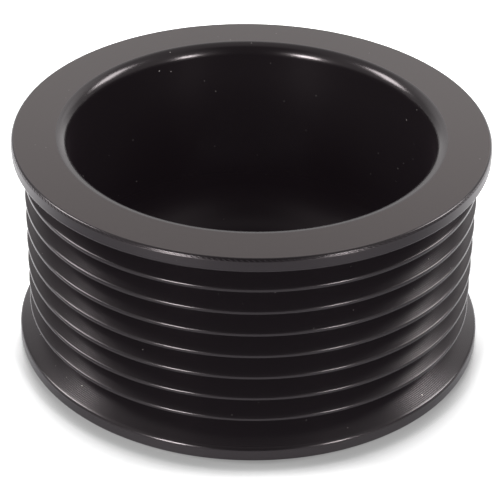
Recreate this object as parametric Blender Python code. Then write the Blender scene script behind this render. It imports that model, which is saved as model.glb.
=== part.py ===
"""Ribbed belt pulley, turned from one bar of aluminium and anodised black.

Run it with: blender --background --python part.py

Units are metres. +Z is the shaft's axis and points out of the cup's mouth. The origin is the
centre of the web's outer face, which the pulley stands on.
"""

import math

import bmesh
import bpy
from mathutils import Vector

# Belt grooves, in the PK section for automotive ribbed belts
GROOVE_COUNT = 8
GROOVE_PITCH = 0.00356
GROOVE_ANGLE = math.radians(40.0)
CREST_DIAMETER = 0.06608
CREST_WIDTH = 0.00055
CREST_EDGE_RADIUS = 0.0003
ROOT_RADIUS = 0.0004

# The two flanges that keep the belt on
FLANGE_HEIGHT = 0.00159
FLANGE_LAND = 0.00198
FLANGE_SET_BACK = 0.00014
RIM_EDGE_RADIUS = 0.0005
BASE_EDGE_RADIUS = 0.0003
UPPER_GROOVE_EDGE_RADIUS = 0.0002
LOWER_GROOVE_EDGE_RADIUS = 0.00055

# The cup, the web that closes its lower end, and the shaft's bore in the web
CUP_WALL = 0.00317
CUP_LIP_RADIUS = 0.00175
CUP_FLOOR_RADIUS = 0.0065
WEB_THICKNESS = 0.002
BORE_DIAMETER = 0.017
BORE_CHAMFER = 0.0005

# Facets
TURN_STEPS = 72
LARGE_ARC_STEPS = 6
CORNER_ARC_STEPS = 2
SMALL_ARC_STEPS = 1

# Finish: black anodising, satin
FINISH_COLOUR = (0.013, 0.011, 0.012, 1.0)
FINISH_ROUGHNESS = 0.28
FINISH_METALLIC = 0.0

CREST_RADIUS = CREST_DIAMETER / 2
FLANGE_RADIUS = CREST_RADIUS + FLANGE_HEIGHT
HALF_ANGLE = GROOVE_ANGLE / 2
FLANK_SLOPE = math.tan(HALF_ANGLE)

# The flanks of a groove would meet at this radius if its root weren't rounded.
APEX_RADIUS = CREST_RADIUS - (GROOVE_PITCH - CREST_WIDTH) / 2 / FLANK_SLOPE
ROOT_RISE = ROOT_RADIUS * (1 / math.sin(HALF_ANGLE) - 1)
GROOVE_BOTTOM_RADIUS = APEX_RADIUS + ROOT_RISE
CUP_RADIUS = GROOVE_BOTTOM_RADIUS - CUP_WALL


def groove_half_width(radius):
    """Half of a groove's width, along the axis, at this radius."""
    return (radius - APEX_RADIUS) * FLANK_SLOPE


# A flange's groove edge stands back from where the flank of the groove beside it would end.
FIRST_GROOVE_HEIGHT = FLANGE_LAND + FLANGE_SET_BACK + groove_half_width(FLANGE_RADIUS)
WIDTH = 2 * FIRST_GROOVE_HEIGHT + (GROOVE_COUNT - 1) * GROOVE_PITCH


def arc_at_corner(before, corner, after, radius, steps):
    """Points of the arc of this radius that touches both sides of a corner."""
    to_before = (before - corner).normalized()
    to_after = (after - corner).normalized()
    half_corner = to_before.angle(to_after) / 2
    reach = radius / math.tan(half_corner)
    centre = corner + (to_before + to_after).normalized() * radius / math.sin(half_corner)
    start = corner + to_before * reach - centre
    end = corner + to_after * reach - centre
    turn = start.angle_signed(end)
    points = []
    for step in range(steps + 1):
        share = turn * step / steps
        # angle_signed counts clockwise turns as positive.
        across = Vector((start.y, -start.x))
        points.append(centre + start * math.cos(share) + across * math.sin(share))
    return points


def rounded_outline(corners):
    """The closed outline through (radius from axis, height, edge radius, arc steps) corners."""
    places = [Vector((radius, height)) for radius, height, _, _ in corners]
    outline = []
    for index, (_, _, edge_radius, steps) in enumerate(corners):
        if edge_radius == 0:
            outline.append(places[index])
            continue
        before = places[index - 1]
        after = places[(index + 1) % len(places)]
        outline += arc_at_corner(before, places[index], after, edge_radius, steps)
    return outline


def lower_flange_corners():
    """The lower flange: the edge it stands on, and the edge where the first groove starts."""
    return [
        (FLANGE_RADIUS, 0, BASE_EDGE_RADIUS, CORNER_ARC_STEPS),
        (FLANGE_RADIUS, FLANGE_LAND, LOWER_GROOVE_EDGE_RADIUS, CORNER_ARC_STEPS),
    ]


def belt_groove_corners():
    """Each groove's root, and the two edges of the crest between it and the next groove."""
    corners = []
    for groove in range(GROOVE_COUNT):
        middle = FIRST_GROOVE_HEIGHT + groove * GROOVE_PITCH
        corners.append((APEX_RADIUS, middle, ROOT_RADIUS, CORNER_ARC_STEPS))
        if groove < GROOVE_COUNT - 1:
            crest = middle + GROOVE_PITCH / 2
            for edge in (crest - CREST_WIDTH / 2, crest + CREST_WIDTH / 2):
                corners.append((CREST_RADIUS, edge, CREST_EDGE_RADIUS, SMALL_ARC_STEPS))
    return corners


def upper_flange_corners():
    """The upper flange: the edge where the last groove ends, and the rim's outer edge."""
    return [
        (FLANGE_RADIUS, WIDTH - FLANGE_LAND, UPPER_GROOVE_EDGE_RADIUS, SMALL_ARC_STEPS),
        (FLANGE_RADIUS, WIDTH, RIM_EDGE_RADIUS, CORNER_ARC_STEPS),
    ]


def cup_corners():
    """The cup's rounded lip, and the fillet between its wall and the web."""
    return [
        (CUP_RADIUS, WIDTH, CUP_LIP_RADIUS, LARGE_ARC_STEPS),
        (CUP_RADIUS, WEB_THICKNESS, CUP_FLOOR_RADIUS, LARGE_ARC_STEPS),
    ]


def shaft_bore_corners():
    """The bore through the web, chamfered at both ends."""
    bore_radius = BORE_DIAMETER / 2
    return [
        (bore_radius + BORE_CHAMFER, WEB_THICKNESS, 0, 0),
        (bore_radius, WEB_THICKNESS - BORE_CHAMFER, 0, 0),
        (bore_radius, BORE_CHAMFER, 0, 0),
        (bore_radius + BORE_CHAMFER, 0, 0, 0),
    ]


def turned_mesh(name, outline):
    """The outline turned right round the Z axis, as one closed mesh."""
    work = bmesh.new()
    ring = [work.verts.new((point.x, 0, point.y)) for point in outline]
    edges = [work.edges.new((vert, ring[index - 1])) for index, vert in enumerate(ring)]
    bmesh.ops.spin(
        work,
        geom=ring + edges,
        cent=(0, 0, 0),
        axis=(0, 0, 1),
        angle=2 * math.pi,
        steps=TURN_STEPS,
        use_merge=True,
    )
    bmesh.ops.recalc_face_normals(work, faces=work.faces)
    mesh = bpy.data.meshes.new(name)
    work.to_mesh(mesh)
    work.free()
    mesh.shade_smooth()
    mesh.set_sharp_from_angle(angle=math.radians(30))
    return mesh


def anodised_finish():
    """Black anodised aluminium with a satin sheen."""
    finish = bpy.data.materials.new("black_anodised_aluminium")
    finish.use_nodes = True
    shader = finish.node_tree.nodes["Principled BSDF"]
    shader.inputs["Base Color"].default_value = FINISH_COLOUR
    shader.inputs["Roughness"].default_value = FINISH_ROUGHNESS
    shader.inputs["Metallic"].default_value = FINISH_METALLIC
    return finish


def clear_scene():
    """Removes every object that the file opened with."""
    for obj in list(bpy.data.objects):
        bpy.data.objects.remove(obj)


def build_pulley():
    """The pulley: one solid, standing on its web with the cup's mouth up."""
    corners = lower_flange_corners() + belt_groove_corners() + upper_flange_corners()
    corners += cup_corners() + shaft_bore_corners()
    mesh = turned_mesh("pulley", rounded_outline(corners))
    mesh.materials.append(anodised_finish())
    pulley = bpy.data.objects.new("pulley", mesh)
    bpy.context.scene.collection.objects.link(pulley)
    return pulley


clear_scene()
build_pulley()
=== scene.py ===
"""The looks of the ribbed belt pulley: its turned surfaces, its black anodising and the studio.

The pulley is one piece, so the scene holds one surface of revolution. Each sub-assembly below
gives the stretch of outline that it is turned to, and the pulley carries the whole outline round
the shaft's axis. The sizes and the viewpoint were fitted to the edges in the photograph, with the
pitch of the belt's section as the scale. The tones, lamps and tool marks were set by comparing
renders with it.

Units are metres, +Z is the shaft's axis, and the pulley stands on z = 0.
"""

import logging
import math
from dataclasses import dataclass, field
from enum import Enum, auto

import bpy
import numpy as np
from mathutils import Matrix, Vector


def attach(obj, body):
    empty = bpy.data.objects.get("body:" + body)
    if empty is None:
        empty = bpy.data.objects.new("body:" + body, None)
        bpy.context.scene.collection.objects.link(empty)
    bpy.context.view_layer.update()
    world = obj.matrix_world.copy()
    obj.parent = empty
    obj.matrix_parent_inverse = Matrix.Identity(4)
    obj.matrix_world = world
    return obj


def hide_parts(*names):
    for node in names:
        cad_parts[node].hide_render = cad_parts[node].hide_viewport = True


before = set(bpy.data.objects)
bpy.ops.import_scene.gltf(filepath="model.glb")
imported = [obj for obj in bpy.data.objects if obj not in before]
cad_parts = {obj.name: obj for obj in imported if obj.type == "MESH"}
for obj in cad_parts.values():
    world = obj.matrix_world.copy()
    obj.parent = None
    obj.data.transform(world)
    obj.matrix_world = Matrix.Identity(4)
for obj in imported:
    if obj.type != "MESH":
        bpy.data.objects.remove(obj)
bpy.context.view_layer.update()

log = logging.getLogger("ribbed_pulley")

MILLIMETRE = 0.001

# A colour's red, green and blue
Colour = tuple[float, float, float]

# The Mix node's colour sockets, by number, because its other kinds of socket share their names
FIRST_COLOUR, SECOND_COLOUR, MIXED_COLOUR = 6, 7, 2


class Surface(Enum):
    """How a stretch of the outline was cut, which settles the finish that it shows."""

    TURNED_EDGES = auto()
    TURNED_FLANKS = auto()
    TURNED_LANDS = auto()
    BROKEN_RIM = auto()
    FACED_RIM = auto()
    BORED_CUP = auto()
    FACED_WEB = auto()


@dataclass(frozen=True)
class Corner:
    """A corner of the outline before it is rounded.

    Attributes:
        radius: Distance from the shaft's axis.
        height: Distance above the face that the pulley stands on.
        rounding: Radius of the arc that rounds the corner.
        steps: Number of chords in that arc.
        surface: How the arc was cut.
        leaving: How the stretch that leaves the arc was cut, where that differs.
    """

    radius: float
    height: float
    rounding: float
    steps: int
    surface: Surface
    leaving: Surface | None = None

    @property
    def place(self) -> np.ndarray:
        """The corner as a point (radius, height)."""
        return np.array([self.radius, self.height])


@dataclass(frozen=True)
class Outline:
    """The rounded outline as arrays, one row for each of its points.

    Attributes:
        points: (radius, height) of each point.
        normals: (radius, height) parts of the outward normal there.
        surfaces: The cut of the stretch that leaves each point.
    """

    points: np.ndarray
    normals: np.ndarray
    surfaces: list[Surface]


@dataclass(frozen=True)
class GrooveSection:
    """The standard section that a ribbed belt's groove is cut to.

    Attributes:
        pitch: Distance between grooves.
        angle: Angle between a groove's flanks, in radians.
        root_rounding: Radius at the groove's bottom.
    """

    pitch: float = 3.56 * MILLIMETRE
    angle: float = math.radians(40.0)
    root_rounding: float = 0.4 * MILLIMETRE

    @property
    def slope(self) -> float:
        """Half of a groove's gain in width for each unit of radius."""
        return math.tan(self.angle / 2)


@dataclass
class BeltGrooves:
    """The row of V-grooves that the belt's ribs run in.

    Attributes:
        section: The standard groove section.
        count: Number of grooves.
        crest_radius: Radius over the crests.
        crest_width: Width of a crest before its edges are rounded.
        crest_rounding: Radius of a crest's two edges.
        root_steps: Number of chords in the arc at a groove's bottom.
        crest_steps: Number of chords in the arc at a crest's edge.
    """

    section: GrooveSection
    count: int = 8
    crest_radius: float = 33.04 * MILLIMETRE
    crest_width: float = 0.55 * MILLIMETRE
    crest_rounding: float = 0.31 * MILLIMETRE
    root_steps: int = 8
    crest_steps: int = 4

    @property
    def apex_radius(self) -> float:
        """Radius at which a groove's flanks would meet."""
        return self.crest_radius - (self.section.pitch - self.crest_width) / 2 / self.section.slope

    @property
    def bottom_radius(self) -> float:
        """Radius at the bottom of a groove."""
        rise = self.section.root_rounding * (1 / math.sin(self.section.angle / 2) - 1)
        return self.apex_radius + rise

    def half_width(self, radius: float) -> float:
        """Half of a groove's width, along the axis, at this radius."""
        return (radius - self.apex_radius) * self.section.slope

    def corners(self, first_height: float) -> list[Corner]:
        """The outline's corners from the lowest groove to the highest.

        Args:
            first_height: Height of the lowest groove's middle.

        Returns:
            Each groove's apex, and the two edges of the crest above it.
        """
        flank, edge = Surface.TURNED_FLANKS, Surface.TURNED_EDGES
        found = []
        for groove in range(self.count):
            middle = first_height + groove * self.section.pitch
            rounding = self.section.root_rounding
            found.append(Corner(self.apex_radius, middle, rounding, self.root_steps, flank))
            if groove == self.count - 1:
                break
            crest = middle + self.section.pitch / 2
            for side, leaving in ((-1, edge), (1, flank)):
                height = crest + side * self.crest_width / 2
                found.append(
                    Corner(
                        self.crest_radius,
                        height,
                        self.crest_rounding,
                        self.crest_steps,
                        edge,
                        leaving,
                    )
                )
        return found


@dataclass
class BeltFlanges:
    """The two flanges that keep the belt on the grooves.

    Attributes:
        height: How far a flange stands above the crests.
        land: Width of a flange's outer edge before it is rounded.
        set_back: How far a flange's edge stands back from the flank of the groove beside it.
        rim_break_height: Height of the broken edge between the upper flange and the open face.
        rim_break_depth: How far that edge leans in.
        rim_rounding: Radius where the broken edge meets the open face.
        rim_foot_rounding: Radius where the broken edge meets the flange's land.
        base_rounding: Radius where the lower flange meets the face that the pulley stands on.
        upper_inner_rounding: Radius between the upper flange and the highest groove.
        lower_inner_rounding: Radius between the lower flange and the lowest groove.
        outer_steps: Number of chords in the arcs at the end faces.
        inner_steps: Number of chords in the arcs beside the grooves.
    """

    height: float = 1.59 * MILLIMETRE
    land: float = 1.98 * MILLIMETRE
    set_back: float = 0.14 * MILLIMETRE
    rim_break_height: float = 0.45 * MILLIMETRE
    rim_break_depth: float = 0.21 * MILLIMETRE
    rim_rounding: float = 0.32 * MILLIMETRE
    rim_foot_rounding: float = 0.3 * MILLIMETRE
    base_rounding: float = 0.3 * MILLIMETRE
    upper_inner_rounding: float = 0.3 * MILLIMETRE
    lower_inner_rounding: float = 0.55 * MILLIMETRE
    outer_steps: int = 7
    inner_steps: int = 5

    def lower_corners(self, radius: float) -> list[Corner]:
        """The lower flange's edges.

        Args:
            radius: Radius over the flanges.

        Returns:
            Its two edges, from the bottom up.
        """
        edge, flank, land = Surface.TURNED_EDGES, Surface.TURNED_FLANKS, Surface.TURNED_LANDS
        rounding = self.lower_inner_rounding
        return [
            Corner(radius, 0.0, self.base_rounding, self.outer_steps, edge, land),
            Corner(radius, self.land, rounding, self.inner_steps, edge, flank),
        ]

    def upper_corners(self, radius: float, width: float) -> list[Corner]:
        """The upper flange's edges.

        Args:
            radius: Radius over the flanges.
            width: Width between the pulley's end faces.

        Returns:
            Its groove edge and both edges of the broken rim, from the bottom up.
        """
        return [
            Corner(
                radius,
                width - self.land,
                self.upper_inner_rounding,
                self.inner_steps,
                Surface.TURNED_EDGES,
                Surface.TURNED_LANDS,
            ),
            Corner(
                radius,
                width - self.rim_break_height,
                self.rim_foot_rounding,
                self.inner_steps,
                Surface.TURNED_LANDS,
                Surface.BROKEN_RIM,
            ),
            Corner(
                radius - self.rim_break_depth,
                width,
                self.rim_rounding,
                self.outer_steps,
                Surface.TURNED_EDGES,
                Surface.FACED_RIM,
            ),
        ]


@dataclass
class Cup:
    """The deep cup that the web closes at its lower end.

    Attributes:
        wall: Thickness between the cup and the bottoms of the grooves.
        lip_rounding: Radius of the cup's mouth.
        floor_rounding: Radius between the cup's wall and its floor.
        web: Thickness of the web.
        lip_steps: Number of chords in the lip's arc.
        floor_steps: Number of chords in the arc between the wall and the floor.
    """

    wall: float = 3.17 * MILLIMETRE
    lip_rounding: float = 1.75 * MILLIMETRE
    floor_rounding: float = 6.5 * MILLIMETRE
    web: float = 2.0 * MILLIMETRE
    lip_steps: int = 14
    floor_steps: int = 12

    def corners(self, radius: float, width: float) -> list[Corner]:
        """The cup's corners.

        Args:
            radius: Radius of the cup's wall.
            width: Width between the pulley's end faces.

        Returns:
            The mouth's lip and the floor's corner, from the top down.
        """
        cut = Surface.BORED_CUP
        return [
            Corner(radius, width, self.lip_rounding, self.lip_steps, cut),
            Corner(radius, self.web, self.floor_rounding, self.floor_steps, Surface.FACED_WEB),
        ]


@dataclass
class ShaftBore:
    """The bore through the web, with a chamfer at each end.

    Attributes:
        radius: Radius of the bore.
        chamfer: Width of each chamfer.
        edge_rounding: Radius of the worn edges of a chamfer.
        edge_steps: Number of chords in the arc at each of those edges.
    """

    radius: float = 8.5 * MILLIMETRE
    chamfer: float = 0.5 * MILLIMETRE
    edge_rounding: float = 0.06 * MILLIMETRE
    edge_steps: int = 2

    def corners(self, web: float) -> list[Corner]:
        """The bore's corners.

        Args:
            web: Thickness of the web.

        Returns:
            The edges of both chamfers, from the cup's floor down.
        """
        wide = self.radius + self.chamfer
        edges = [
            (wide, web, Surface.BORED_CUP),
            (self.radius, web - self.chamfer, Surface.BORED_CUP),
            (self.radius, self.chamfer, Surface.BORED_CUP),
            (wide, 0.0, Surface.FACED_WEB),
        ]
        return [
            Corner(radius, height, self.edge_rounding, self.edge_steps, cut)
            for radius, height, cut in edges
        ]


def rounded_outline(corners: list[Corner]) -> Outline:
    """Rounds every corner of a closed outline.

    An arc touches both sides of its corner. With h half of the angle between the sides, it
    starts at the corner plus rounding / tan(h) along the first side, its centre is at the
    corner plus rounding / sin(h) along the bisector, and it turns by pi - 2 h. Its normals
    point away from the centre on an outer corner, and towards it on an inner one.

    Args:
        corners: The corners in order, with the material on the left of the way round.

    Returns:
        The outline's points, normals and cuts.
    """
    points, normals, surfaces = [], [], []
    for index, corner in enumerate(corners):
        here = corner.place
        before = corners[index - 1].place - here
        after = corners[(index + 1) % len(corners)].place - here
        before /= np.linalg.norm(before)
        after /= np.linalg.norm(after)
        half = math.acos(float(np.clip(before @ after, -1.0, 1.0))) / 2
        bisector = (before + after) / np.linalg.norm(before + after)
        centre = here + bisector * corner.rounding / math.sin(half)
        start = here + before * corner.rounding / math.tan(half) - centre
        outer = before[1] * after[0] - before[0] * after[1] > 0
        turn = (math.pi - 2 * half) * (1 if outer else -1)
        angles = turn * np.linspace(0.0, 1.0, corner.steps + 1)[:, None]
        across = np.array([-start[1], start[0]])
        spokes = start * np.cos(angles) + across * np.sin(angles)
        points.append(centre + spokes)
        normals.append(spokes / corner.rounding * (1 if outer else -1))
        surfaces += [corner.surface] * corner.steps + [corner.leaving or corner.surface]
    return Outline(np.concatenate(points), np.concatenate(normals), surfaces)


@dataclass
class Pulley:
    """The whole pulley, turned from one bar.

    Attributes:
        grooves: The V-grooves.
        flanges: The two belt flanges.
        cup: The cup and its web.
        bore: The shaft's bore.
        spokes: Number of facets right round the axis.
    """

    grooves: BeltGrooves = field(default_factory=lambda: BeltGrooves(GrooveSection()))
    flanges: BeltFlanges = field(default_factory=BeltFlanges)
    cup: Cup = field(default_factory=Cup)
    bore: ShaftBore = field(default_factory=ShaftBore)
    spokes: int = 440

    @property
    def flange_radius(self) -> float:
        """Radius over the flanges."""
        return self.grooves.crest_radius + self.flanges.height

    @property
    def first_groove(self) -> float:
        """Height of the lowest groove's middle."""
        flank = self.grooves.half_width(self.flange_radius)
        return self.flanges.land + self.flanges.set_back + flank

    @property
    def width(self) -> float:
        """Width between the pulley's end faces."""
        return 2 * self.first_groove + (self.grooves.count - 1) * self.grooves.section.pitch

    @property
    def cup_radius(self) -> float:
        """Radius of the cup's wall."""
        return self.grooves.bottom_radius - self.cup.wall

    def outline(self) -> Outline:
        """The rounded outline, from the lower flange up the outside and down through the cup."""
        corners = [
            *self.flanges.lower_corners(self.flange_radius),
            *self.grooves.corners(self.first_groove),
            *self.flanges.upper_corners(self.flange_radius, self.width),
            *self.cup.corners(self.cup_radius, self.width),
            *self.bore.corners(self.cup.web),
        ]
        return rounded_outline(corners)

    def build(self, finishes: dict[Surface, bpy.types.Material]) -> bpy.types.Object:
        """Carries the outline round the axis as one closed surface.

        Point (i, j) of the grid is at (r_i cos a_j, r_i sin a_j, z_i), with r_i and z_i the
        outline's and a_j = 2 pi j / spokes, and its normal turns in the same way. The UV map
        named turning holds j / spokes and the distance along the outline.

        Args:
            finishes: The material of each kind of cut.

        Returns:
            The object, at the origin.
        """
        outline = self.outline()
        count = len(outline.points)
        angle = np.linspace(0.0, 2 * math.pi, self.spokes, endpoint=False)
        round_axis = np.stack([np.cos(angle), np.sin(angle)], axis=1)

        def revolve(rows: np.ndarray) -> np.ndarray:
            """The (row, spoke, xyz) grid that these (radius, height) rows turn through."""
            flat = rows[:, None, :1] * round_axis[None, :, :]
            rise = np.broadcast_to(rows[:, None, 1:], flat.shape[:2] + (1,))
            return np.concatenate([flat, rise], axis=2)

        row, spoke = np.meshgrid(np.arange(count), np.arange(self.spokes), indexing="ij")
        next_row, next_spoke = (row + 1) % count, (spoke + 1) % self.spokes
        quads = np.stack(
            [
                row * self.spokes + spoke,
                row * self.spokes + next_spoke,
                next_row * self.spokes + next_spoke,
                next_row * self.spokes + spoke,
            ],
            axis=2,
        ).reshape(-1, 4)

        mesh = bpy.data.meshes.new("turned_pulley")
        mesh.vertices.add(count * self.spokes)
        mesh.vertices.foreach_set("co", revolve(outline.points).astype(np.float32).ravel())
        mesh.loops.add(quads.size)
        mesh.loops.foreach_set("vertex_index", quads.astype(np.int32).ravel())
        mesh.polygons.add(len(quads))
        mesh.polygons.foreach_set("loop_start", np.arange(0, quads.size, 4, dtype=np.int32))

        order = list(finishes)
        for finish in finishes.values():
            mesh.materials.append(finish)
        slots = np.array([order.index(cut) for cut in outline.surfaces], dtype=np.int32)
        mesh.polygons.foreach_set("material_index", np.repeat(slots, self.spokes))

        stretch = np.linalg.norm(np.roll(outline.points, -1, axis=0) - outline.points, axis=1)
        along = np.concatenate([[0.0], np.cumsum(stretch)])
        share = np.arange(self.spokes + 1) / self.spokes
        corner_row = np.stack([row, row, row + 1, row + 1], axis=2)
        corner_spoke = np.stack([spoke, spoke + 1, spoke + 1, spoke], axis=2)
        turning = np.stack([share[corner_spoke], along[corner_row]], axis=3)
        layer = mesh.uv_layers.new(name="turning")
        layer.uv.foreach_set("vector", turning.astype(np.float32).ravel())

        mesh.update(calc_edges=True)
        mesh.validate()
        mesh.shade_smooth()
        mesh.normals_split_custom_set_from_vertices(
            revolve(outline.normals).reshape(-1, 3).astype(np.float32)
        )
        pulley = bpy.data.objects.new("turned_pulley", mesh)
        bpy.context.scene.collection.objects.link(pulley)
        return pulley


class Value:
    """A shader socket that can be used in a Python expression, which adds its Math nodes."""

    def __init__(self, graph: "ShaderGraph", socket: bpy.types.NodeSocket) -> None:
        """Keeps the graph that the socket belongs to, and the socket."""
        self.graph = graph
        self.socket = socket

    def _math(self, operation: str, *values: "Value | float") -> "Value":
        """The result of a Math node on these values."""
        return self.graph.math(operation, *values)

    def __add__(self, other: "Value | float") -> "Value":
        """self + other."""
        return self._math("ADD", self, other)

    __radd__ = __add__

    def __sub__(self, other: "Value | float") -> "Value":
        """self - other."""
        return self._math("SUBTRACT", self, other)

    def __rsub__(self, other: float) -> "Value":
        """other - self."""
        return self._math("SUBTRACT", other, self)

    def __mul__(self, other: "Value | float") -> "Value":
        """self * other."""
        return self._math("MULTIPLY", self, other)

    __rmul__ = __mul__

    def __truediv__(self, other: "Value | float") -> "Value":
        """self / other."""
        return self._math("DIVIDE", self, other)

    def __gt__(self, other: "Value | float") -> "Value":
        """1 where self is over other, and 0 elsewhere."""
        return self._math("GREATER_THAN", self, other)

    def __pow__(self, other: "Value | float") -> "Value":
        """self to a power."""
        return self._math("POWER", self, other)


class ShaderGraph:
    """A node tree under construction."""

    def __init__(self, tree: bpy.types.NodeTree) -> None:
        """Empties the tree."""
        self.tree = tree
        tree.nodes.clear()

    def node(self, kind: str, settings: dict | None = None, **inputs: object) -> bpy.types.Node:
        """Adds a node.

        Args:
            kind: The node's type.
            settings: The node's own properties, set before its inputs.
            **inputs: A value or a link for each named input, with _ for a space.

        Returns:
            The node.
        """
        made = self.tree.nodes.new(kind)
        for name, setting in (settings or {}).items():
            setattr(made, name, setting)
        for name, value in inputs.items():
            self.feed(made.inputs[name.replace("_", " ")], value)
        return made

    def feed(self, target: bpy.types.NodeSocket, value: object) -> None:
        """Sets or links a socket.

        Args:
            target: The socket.
            value: A Value or another socket to link to it, or a number or colour to set.
        """
        if isinstance(value, Value):
            value = value.socket
        if isinstance(value, bpy.types.NodeSocket):
            self.tree.links.new(value, target)
        else:
            target.default_value = value

    def math(self, operation: str, *values: "Value | float", clamp: bool = False) -> Value:
        """Adds a Math node.

        Args:
            operation: The node's operation.
            *values: Its inputs, in order.
            clamp: Whether the result is kept between 0 and 1.

        Returns:
            The result.
        """
        made = self.node("ShaderNodeMath", {"operation": operation, "use_clamp": clamp})
        for target, value in zip(made.inputs, values):
            self.feed(target, value)
        return Value(self, made.outputs[0])

    def mix_colour(self, share: Value, first: Colour, second: Colour) -> bpy.types.NodeSocket:
        """Adds a node that mixes two colours.

        Args:
            share: 0 where only the first colour shows, and 1 where only the second does.
            first: The first colour.
            second: The second colour.

        Returns:
            The mixed colour.
        """
        made = self.node("ShaderNodeMix", {"data_type": "RGBA"})
        self.feed(made.inputs["Factor"], share)
        self.feed(made.inputs[FIRST_COLOUR], (*first, 1.0))
        self.feed(made.inputs[SECOND_COLOUR], (*second, 1.0))
        return made.outputs[MIXED_COLOUR]

    def smooth_step(self, value: Value, low: float, high: float) -> Value:
        """Adds a smooth step.

        Args:
            value: The value to judge.
            low: Where the step starts.
            high: Where it ends.

        Returns:
            0 up to low, 1 from high, and a smooth rise between.
        """
        made = self.node(
            "ShaderNodeMapRange",
            {"interpolation_type": "SMOOTHSTEP", "clamp": True},
            Value=value,
            From_Min=low,
            From_Max=high,
        )
        return Value(self, made.outputs["Result"])


@dataclass(frozen=True)
class ToolMarks:
    """The fine waves that a cutting tool leaves.

    Attributes:
        pitch: Distance between the waves along the outline.
        waves: Number of waves that a full turn crosses: 1 for a feed's helix, hundreds for
            chatter, which slants.
        slope: The waves' steepest slope.
    """

    pitch: float
    waves: float
    slope: float

    def normal(self, graph: ShaderGraph) -> bpy.types.NodeSocket:
        """The normal of a surface with these marks.

        With u the share of a turn and v the distance along the outline, both from the UV map
        named turning, the height is slope * pitch / (2 pi) * sin(2 pi (v / pitch + waves * u)).

        Args:
            graph: The material's graph.

        Returns:
            The normal.
        """
        place = graph.node("ShaderNodeUVMap", {"uv_map": "turning"})
        parts = graph.node("ShaderNodeSeparateXYZ", Vector=place.outputs["UV"])
        turn, along = Value(graph, parts.outputs["X"]), Value(graph, parts.outputs["Y"])
        phase = (along / self.pitch + turn * self.waves) * (2 * math.pi)
        height = graph.math("SINE", phase) * (self.slope * self.pitch / (2 * math.pi))
        bump = graph.node("ShaderNodeBump", Height=height, Strength=1.0, Distance=1.0)
        return bump.outputs["Normal"]


@dataclass(frozen=True)
class Wear:
    """Dust on a surface.

    Attributes:
        tone: Colour of the dust.
        spacing: Mean distance between neighbouring grains in space.
        grain: Largest grain's radius.
    """

    tone: Colour = (0.3, 0.28, 0.27)
    spacing: float = 1.8 * MILLIMETRE
    grain: float = 0.12 * MILLIMETRE

    def colour(self, graph: ShaderGraph, clean: Colour) -> bpy.types.NodeSocket:
        """The clean colour with dust over it.

        The grains are balls about the feature points of a cell pattern in space, so only those
        that the surface cuts through show. A random number per cell sets each ball's size.

        Args:
            graph: The material's graph.
            clean: The colour without dust.

        Returns:
            The colour with it.
        """
        place = graph.node("ShaderNodeTexCoord").outputs["Object"]
        cells = graph.node("ShaderNodeTexVoronoi", Vector=place, Scale=1 / self.spacing)
        sizes = graph.node("ShaderNodeSeparateColor", Color=cells.outputs["Color"])
        size = Value(graph, sizes.outputs["Red"]) * (self.grain / self.spacing)
        dusty = size > Value(graph, cells.outputs["Distance"])
        return graph.mix_colour(dusty, clean, self.tone)


@dataclass(frozen=True)
class Anodising:
    """Black anodising over turned aluminium.

    Attributes:
        name: The material's name.
        roughness: Roughness of the satin surface.
        lay: Strength of the streak that the turning marks draw, from 0 to 1.
        lay_turn: Turn of that streak about the normal, as a share of a full turn.
        colour: Colour of the dyed film.
        refraction: Index of refraction of the film.
        deep_roughness: Roughness at the cup's floor, where it differs from the rest.
        deep_height: Height up to which the surface is as rough as the cup's floor.
        clear_height: Height from which it is as rough as the rest.
        sheen: Colour of the light that the film throws straight back.
        painted_glow: Colour of a faint, even painted glow that the film gives off, which lifts it
            even in full shade.
        marks: The tool's marks, where they show.
        wear: The dust on it.
    """

    name: str
    roughness: float
    lay: float
    lay_turn: float = 0.25
    colour: Colour = (0.006, 0.0052, 0.0056)
    refraction: float = 1.62
    deep_roughness: float | None = None
    deep_height: float = 4.0 * MILLIMETRE
    clear_height: float = 14.0 * MILLIMETRE
    sheen: Colour = (1.0, 0.9, 0.92)
    painted_glow: Colour = (0.0054, 0.0041, 0.0051)
    marks: ToolMarks | None = None
    wear: Wear = Wear()

    def material(self) -> bpy.types.Material:
        """Builds the material.

        Returns:
            The material.
        """
        made = bpy.data.materials.new(self.name)
        made.use_nodes = True
        graph = ShaderGraph(made.node_tree)
        roughness = self.roughness
        if self.deep_roughness is not None:
            place = graph.node("ShaderNodeTexCoord")
            parts = graph.node("ShaderNodeSeparateXYZ", Vector=place.outputs["Object"])
            height = Value(graph, parts.outputs["Z"])
            above = graph.smooth_step(height, self.deep_height, self.clear_height)
            roughness = self.deep_roughness + above * (self.roughness - self.deep_roughness)
        shader = graph.node(
            "ShaderNodeBsdfPrincipled",
            Base_Color=self.wear.colour(graph, self.colour),
            Roughness=roughness,
            IOR=self.refraction,
            Specular_Tint=(*self.sheen, 1.0),
            Anisotropic=self.lay,
            Anisotropic_Rotation=self.lay_turn,
            # Painted glow: an even emission that lifts the film even where it lies in full shade.
            Emission_Color=(*self.painted_glow, 1.0),
            Emission_Strength=1.0,
        )
        if self.marks is not None:
            graph.feed(shader.inputs["Normal"], self.marks.normal(graph))
        output = graph.node("ShaderNodeOutputMaterial")
        graph.feed(output.inputs["Surface"], shader.outputs["BSDF"])
        return made


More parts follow.
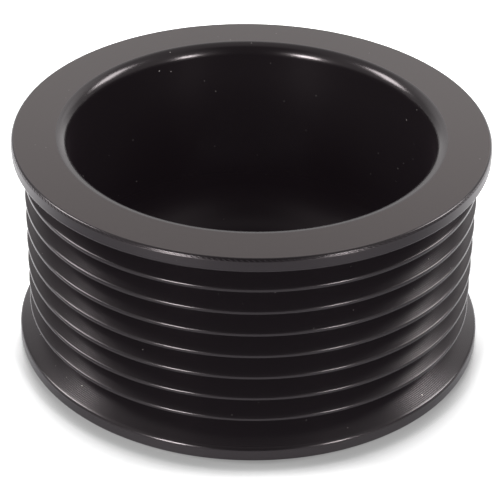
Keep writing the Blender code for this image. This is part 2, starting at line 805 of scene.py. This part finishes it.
@dataclass(frozen=True)
class Lamp:
    """A soft box.

    Attributes:
        name: The lamp's name.
        azimuth: Direction round the object, in degrees, from the camera's side to the right.
        elevation: Direction above the floor, in degrees.
        width: Width of the box.
        height: Height of the box.
        brightness: Radiance of its face.
        distance: Distance from the object.
    """

    name: str
    azimuth: float
    elevation: float
    width: float
    height: float
    brightness: float
    distance: float = 1.2

    def build(self, aim: Vector) -> None:
        """Hangs the lamp.

        Args:
            aim: The place that it points at.
        """
        around, up = math.radians(self.azimuth), math.radians(self.elevation)
        outward = Vector(
            (math.sin(around) * math.cos(up), -math.cos(around) * math.cos(up), math.sin(up))
        )
        light = bpy.data.lights.new(self.name, "AREA")
        light.shape = "RECTANGLE"
        light.size, light.size_y = self.width, self.height
        # An area lamp's power is its radiance times its area times pi.
        light.energy = self.brightness * self.width * self.height * math.pi
        lamp = bpy.data.objects.new(self.name, light)
        bpy.context.scene.collection.objects.link(lamp)
        lamp.matrix_world = Matrix.Translation(aim + outward * self.distance) @ (
            outward.to_track_quat("Z", "Y").to_matrix().to_4x4()
        )


@dataclass(frozen=True)
class Floor:
    """The floor: a disc of diffuse white that clears to pure white for the camera.

    Attributes:
        radius: Radius of the disc.
        sides: Number of sides of its outline.
        colour: Share of the light that it gives back.
        exposure: How much brighter the camera sees it, so that it clears to white.
        coolness: How much bluer the light is that it gives back to everything but the camera.
        contact_reach: Distance from the object's foot at which the floor is clear again.
        contact_rays: Number of rays that look for the foot.
        contact_shade: Share of the floor's light that the painted shade leaves at the foot.
        contact_power: Strength of the foot's shade straight in front of the object.
        front_power: How fast that strength falls off towards the object's sides.
        least_clear: Lowest openness that the shade is worked out from, so that its power exists.
        shadow_tone: Light that the camera sees even in the darkest part of the shadow.
        foot: Distance from the object's axis within which the floor is covered by it.
        front_glow: Glow of the floor close in front of the object.
        glow_loss: Share of that glow that is missing farther out.
        glow_near: Distance from the axis at which the glow starts to fall.
        glow_far: Distance from the axis at which it has fallen.
        rear_glow: Glow of the floor behind the object.
        rear_blend: Depth before and behind the axis over which one glow turns into the other.
    """

    radius: float = 4.0
    sides: int = 96
    colour: float = 0.45
    exposure: float = 3.5
    coolness: float = 0.06
    contact_reach: float = 7.0 * MILLIMETRE
    contact_rays: int = 32
    contact_shade: float = 0.19
    contact_power: float = 7.2
    front_power: float = 1.8
    least_clear: float = 0.001
    shadow_tone: float = 0.16
    foot: float = 34.0 * MILLIMETRE
    front_glow: float = 0.22
    glow_loss: float = 0.68
    glow_near: float = 37.0 * MILLIMETRE
    glow_far: float = 60.0 * MILLIMETRE
    rear_glow: float = 1.3
    rear_blend: float = 30.0 * MILLIMETRE

    def diffuse(self, graph: ShaderGraph, camera: Value, in_front: Value) -> bpy.types.Node:
        """The floor's diffuse white, with painted shade along the object's foot for the camera.

        The object's shadow on it is a real one, deepened along the object's foot by painted shade
        in the floor's colour that the camera sees. With a the share of the sky that a point sees
        past anything nearer than the contact's reach, which is a half right at the foot, and f how
        far it lies in front, from 0 beside the object to 1 straight before it, the light that is
        left of the floor's own is shade + (1 - shade) (2 a - 1) ^ (contact power * f ^ front
        power).

        Args:
            graph: The floor's graph.
            camera: 1 for the camera's own rays, and 0 for others.
            in_front: How far a point lies in front, from 0 to 1.

        Returns:
            The diffuse shader's node.
        """
        open_sky = graph.node(
            "ShaderNodeAmbientOcclusion",
            {"samples": self.contact_rays},
            Distance=self.contact_reach,
        )
        openness = Value(graph, open_sky.outputs["AO"]) * 2 - 1
        clear = graph.math("MAXIMUM", openness, self.least_clear)
        clear = clear ** (in_front**self.front_power * self.contact_power)
        # Painted shade: the floor's colour for the camera darkens along the object's foot.
        painted_foot_shade = self.contact_shade + clear * (1 - self.contact_shade)
        shown = self.colour * (1 + camera * (painted_foot_shade * self.exposure - 1))
        blue = shown * (1 + self.coolness - camera * self.coolness)
        white = graph.node("ShaderNodeCombineColor", Red=shown, Green=shown, Blue=blue)
        return graph.node("ShaderNodeBsdfDiffuse", Color=white.outputs["Color"])

    def glow(
        self, graph: ShaderGraph, camera: Value, depth: Value, reach: Value
    ) -> bpy.types.Node:
        """The floor's glow, in place of the lit sweep that would stand round a real object.

        Only the object is lit by it: there is a faint glow close in front of it, fainter still
        farther out, and a strong one behind it. The camera sees the shadow's tone instead.

        Args:
            graph: The floor's graph.
            camera: 1 for the camera's own rays, and 0 for others.
            depth: Distance behind the object's axis.
            reach: Distance from the object's axis.

        Returns:
            The emission shader's node.
        """
        behind = graph.smooth_step(depth, -self.rear_blend, self.rear_blend)
        lost = self.glow_loss * graph.smooth_step(reach, self.glow_near, self.glow_far)
        front = (1 - lost) * self.front_glow
        lit = (reach > self.foot) * (front + behind * (self.rear_glow - front))
        seen = lit * (1 - camera) + self.shadow_tone * camera
        return graph.node("ShaderNodeEmission", Strength=seen)

    def material(self) -> bpy.types.Material:
        """Builds the floor's material.

        Returns:
            The material.
        """
        made = bpy.data.materials.new("white_floor")
        made.use_nodes = True
        graph = ShaderGraph(made.node_tree)
        path = graph.node("ShaderNodeLightPath")
        camera = Value(graph, path.outputs["Is Camera Ray"])
        place = graph.node("ShaderNodeTexCoord").outputs["Object"]
        parts = graph.node("ShaderNodeSeparateXYZ", Vector=place)
        depth = Value(graph, parts.outputs["Y"])
        length = graph.node("ShaderNodeVectorMath", {"operation": "LENGTH"}, Vector=place)
        reach = Value(graph, length.outputs["Value"])
        in_front = graph.math("MAXIMUM", -1 * depth / reach, 0.0)
        diffuse = self.diffuse(graph, camera, in_front)
        glow = self.glow(graph, camera, depth, reach)
        both = graph.node("ShaderNodeAddShader")
        graph.feed(both.inputs[0], diffuse.outputs[0])
        graph.feed(both.inputs[1], glow.outputs[0])
        output = graph.node("ShaderNodeOutputMaterial")
        graph.feed(output.inputs["Surface"], both.outputs[0])
        return made

    def build(self) -> None:
        """Lays the floor."""
        angle = np.linspace(0.0, 2 * math.pi, self.sides, endpoint=False)
        ring = np.stack([np.cos(angle), np.sin(angle), 0 * angle], axis=1) * self.radius
        mesh = bpy.data.meshes.new("floor")
        mesh.from_pydata(ring.tolist(), [], [list(range(len(ring)))])
        mesh.materials.append(self.material())
        floor = bpy.data.objects.new("floor", mesh)
        bpy.context.scene.collection.objects.link(floor)


@dataclass(frozen=True)
class Room:
    """The light that comes from round the floor: a white backdrop, and a dimmer room.

    A direction's part is how much of it points some way, from 0 to 1.

    Attributes:
        backdrop: Radiance that the backdrop behind the object grows towards.
        lean: How much brighter the backdrop is to the right.
        rise_power: How steeply it grows out of the room's grey.
        rise_limit: Share of that growth at which it stops.
        horizon_shade: Share of the backdrop's light that is missing straight behind.
        horizon_start: Part of a direction that points straight behind, where that shade starts.
        horizon_full: Part at which it is full.
        grey: Radiance of the room's sides and ceiling.
        shade: Radiance of the dark side of the room, behind the camera.
        shade_depth: Part of a direction that points to the camera's side, where it is dark.
        shade_inner: Part that points sideways, up to which the dark side is full.
        shade_outer: Part that points sideways, at which it ends.
    """

    backdrop: float = 2.4
    lean: float = 0.4
    rise_power: float = 2.75
    rise_limit: float = 0.58
    horizon_shade: float = 0.6
    horizon_start: float = 0.925
    horizon_full: float = 0.99
    grey: float = 0.36
    shade: float = 0.03
    shade_depth: float = 0.3
    shade_inner: float = 0.2
    shade_outer: float = 0.6

    def build(self) -> None:
        """Lights the room by direction.

        With y the part of a direction that points straight behind the object and x the part
        that points to the right, the backdrop's share of the light over the room's grey is the
        lesser of (2 y - 1) ^ rise power and the rise's limit, times 1 + lean * x. It is dimmed
        where y nears 1. The dark side covers the directions of negative y and small x. The
        camera sees plain white instead.
        """
        world = bpy.data.worlds.new("studio")
        bpy.context.scene.world = world
        world.use_nodes = True
        graph = ShaderGraph(world.node_tree)
        direction = graph.node("ShaderNodeTexCoord")
        parts = graph.node("ShaderNodeSeparateXYZ", Vector=direction.outputs["Generated"])
        right = Value(graph, parts.outputs["X"])
        sideways = graph.math("ABSOLUTE", right)
        behind = Value(graph, parts.outputs["Y"])
        rise = graph.math("SUBTRACT", behind * 2, 1.0, clamp=True) ** self.rise_power
        near_horizon = graph.smooth_step(behind, self.horizon_start, self.horizon_full)
        horizon = 1 - near_horizon * self.horizon_shade
        sweep = graph.math("MINIMUM", rise, self.rise_limit) * (1 + right * self.lean) * horizon
        shaded = graph.smooth_step(-1 * behind, 0.0, self.shade_depth) * (
            1 - graph.smooth_step(sideways, self.shade_inner, self.shade_outer)
        )
        strength = (
            self.grey
            + sweep * (self.backdrop - self.grey)
            - shaded * (self.grey - self.shade)
        )
        path = graph.node("ShaderNodeLightPath")
        camera = Value(graph, path.outputs["Is Camera Ray"])
        strength = strength * (1 - camera) + camera
        background = graph.node(
            "ShaderNodeBackground", Color=(1.0, 1.0, 1.0, 1.0), Strength=strength
        )
        output = graph.node("ShaderNodeOutputWorld")
        graph.feed(output.inputs["Surface"], background.outputs[0])


@dataclass(frozen=True)
class Studio:
    """The place that the object is photographed in.

    Attributes:
        floor: The white floor.
        room: The light from round it.
        lamps: The soft boxes.
    """

    floor: Floor = Floor()
    room: Room = Room()
    lamps: tuple[Lamp, ...] = (
        Lamp("side_box_left", -101.5, 37.0, width=0.34, height=0.52, brightness=12.6),
        Lamp("side_box_right", 109.5, 37.0, width=0.36, height=0.48, brightness=10.2),
        Lamp("front_box_left", -33.4, 14.0, width=0.28, height=0.3, brightness=33.0),
        Lamp("front_box_right", 41.4, 14.0, width=0.2, height=0.3, brightness=24.0),
        Lamp("rear_box_left", -150.0, 37.0, width=0.5, height=0.5, brightness=0.25),
        Lamp("rear_box_right", 150.0, 37.0, width=0.5, height=0.5, brightness=0.45),
    )

    def build(self, aim: Vector) -> None:
        """Builds the floor, the room's light and the lamps.

        Args:
            aim: The place that the lamps point at.
        """
        self.floor.build()
        self.room.build()
        for lamp in self.lamps:
            lamp.build(aim)


@dataclass(frozen=True)
class Viewpoint:
    """The photograph's camera, worked out from the pulley's edges in it.

    Attributes:
        distance: From the aim to the lens.
        elevation: Above the horizon, in degrees.
        roll: Turn about the line of sight, in degrees.
        aim: The point in the middle of the picture.
        lens: Focal length, in millimetres.
        sensor: Width of the sensor, in millimetres.
        nearest: Distance from which things are seen.
        farthest: Distance up to which they are.
    """

    distance: float = 295.2 * MILLIMETRE
    elevation: float = 32.68
    roll: float = 1.083
    aim: tuple[float, float, float] = (0.054 * MILLIMETRE, 0.0, 12.6 * MILLIMETRE)
    lens: float = 141.68
    sensor: float = 36.0
    nearest: float = 0.01
    farthest: float = 50.0

    def build(self) -> None:
        """Sets up the scene's camera."""
        up = math.radians(self.elevation)
        back = Vector((0.0, -math.cos(up), math.sin(up)))
        camera = bpy.data.cameras.new("photo_camera")
        camera.sensor_width = self.sensor
        camera.lens = self.lens
        camera.clip_start, camera.clip_end = self.nearest, self.farthest
        holder = bpy.data.objects.new("photo_camera", camera)
        bpy.context.scene.collection.objects.link(holder)
        turn = back.to_track_quat("Z", "Y").to_matrix().to_4x4()
        roll = Matrix.Rotation(math.radians(self.roll), 4, "Z")
        holder.matrix_world = (
            Matrix.Translation(Vector(self.aim) + back * self.distance) @ turn @ roll
        )
        bpy.context.scene.camera = holder


def anodised_finishes() -> dict[Surface, bpy.types.Material]:
    """Builds the finish of each kind of cut.

    Returns:
        The materials.
    """
    # The second colour is a fainter painted glow, for the cup and its web.
    warm, dim_painted_glow = (1.0, 0.81, 0.78), (0.0044, 0.003, 0.0039)
    feed = ToolMarks(pitch=0.27 * MILLIMETRE, waves=1.0, slope=0.15)
    chatter = ToolMarks(pitch=0.36 * MILLIMETRE, waves=280.0, slope=0.2)
    fine = Wear(grain=0.07 * MILLIMETRE)
    finishes = {
        Surface.TURNED_EDGES: Anodising(
            "anodised_edges", roughness=0.22, lay=0.55, wear=fine
        ),
        Surface.TURNED_FLANKS: Anodising(
            "anodised_flanks", roughness=0.24, lay=0.5, marks=feed, wear=fine
        ),
        Surface.TURNED_LANDS: Anodising(
            "anodised_lands", roughness=0.34, lay=0.5, wear=fine
        ),
        Surface.BROKEN_RIM: Anodising(
            "anodised_broken_rim", roughness=0.17, lay=0.3, marks=chatter
        ),
        Surface.FACED_RIM: Anodising(
            "anodised_rim", roughness=0.28, lay=0.3, sheen=warm, wear=fine
        ),
        Surface.BORED_CUP: Anodising(
            "anodised_cup", roughness=0.22, lay=0.5, deep_roughness=0.42, painted_glow=dim_painted_glow
        ),
        Surface.FACED_WEB: Anodising("anodised_web", roughness=0.42, lay=0.5, painted_glow=dim_painted_glow),
    }
    return {cut: finish.material() for cut, finish in finishes.items()}


def main() -> None:
    """Builds the pulley, the studio and the camera, and reports each."""
    logging.basicConfig(level=logging.INFO, format="%(message)s")
    pulley = Pulley()
    body = pulley.build(anodised_finishes())
    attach(body, "root")
    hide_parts("pulley")
    faces, width = len(body.data.polygons), pulley.width / MILLIMETRE
    log.info("%s: %d faces, %.2f mm wide", body.name, faces, width)

    Studio().build(Vector((0.0, 0.0, pulley.width / 2)))
    log.info("studio: floor, room and lamps")
    Viewpoint().build()
    log.info("camera: set to the photograph's viewpoint")
    bpy.context.scene.view_settings.view_transform = "Standard"


if __name__ == "__main__":
    main()
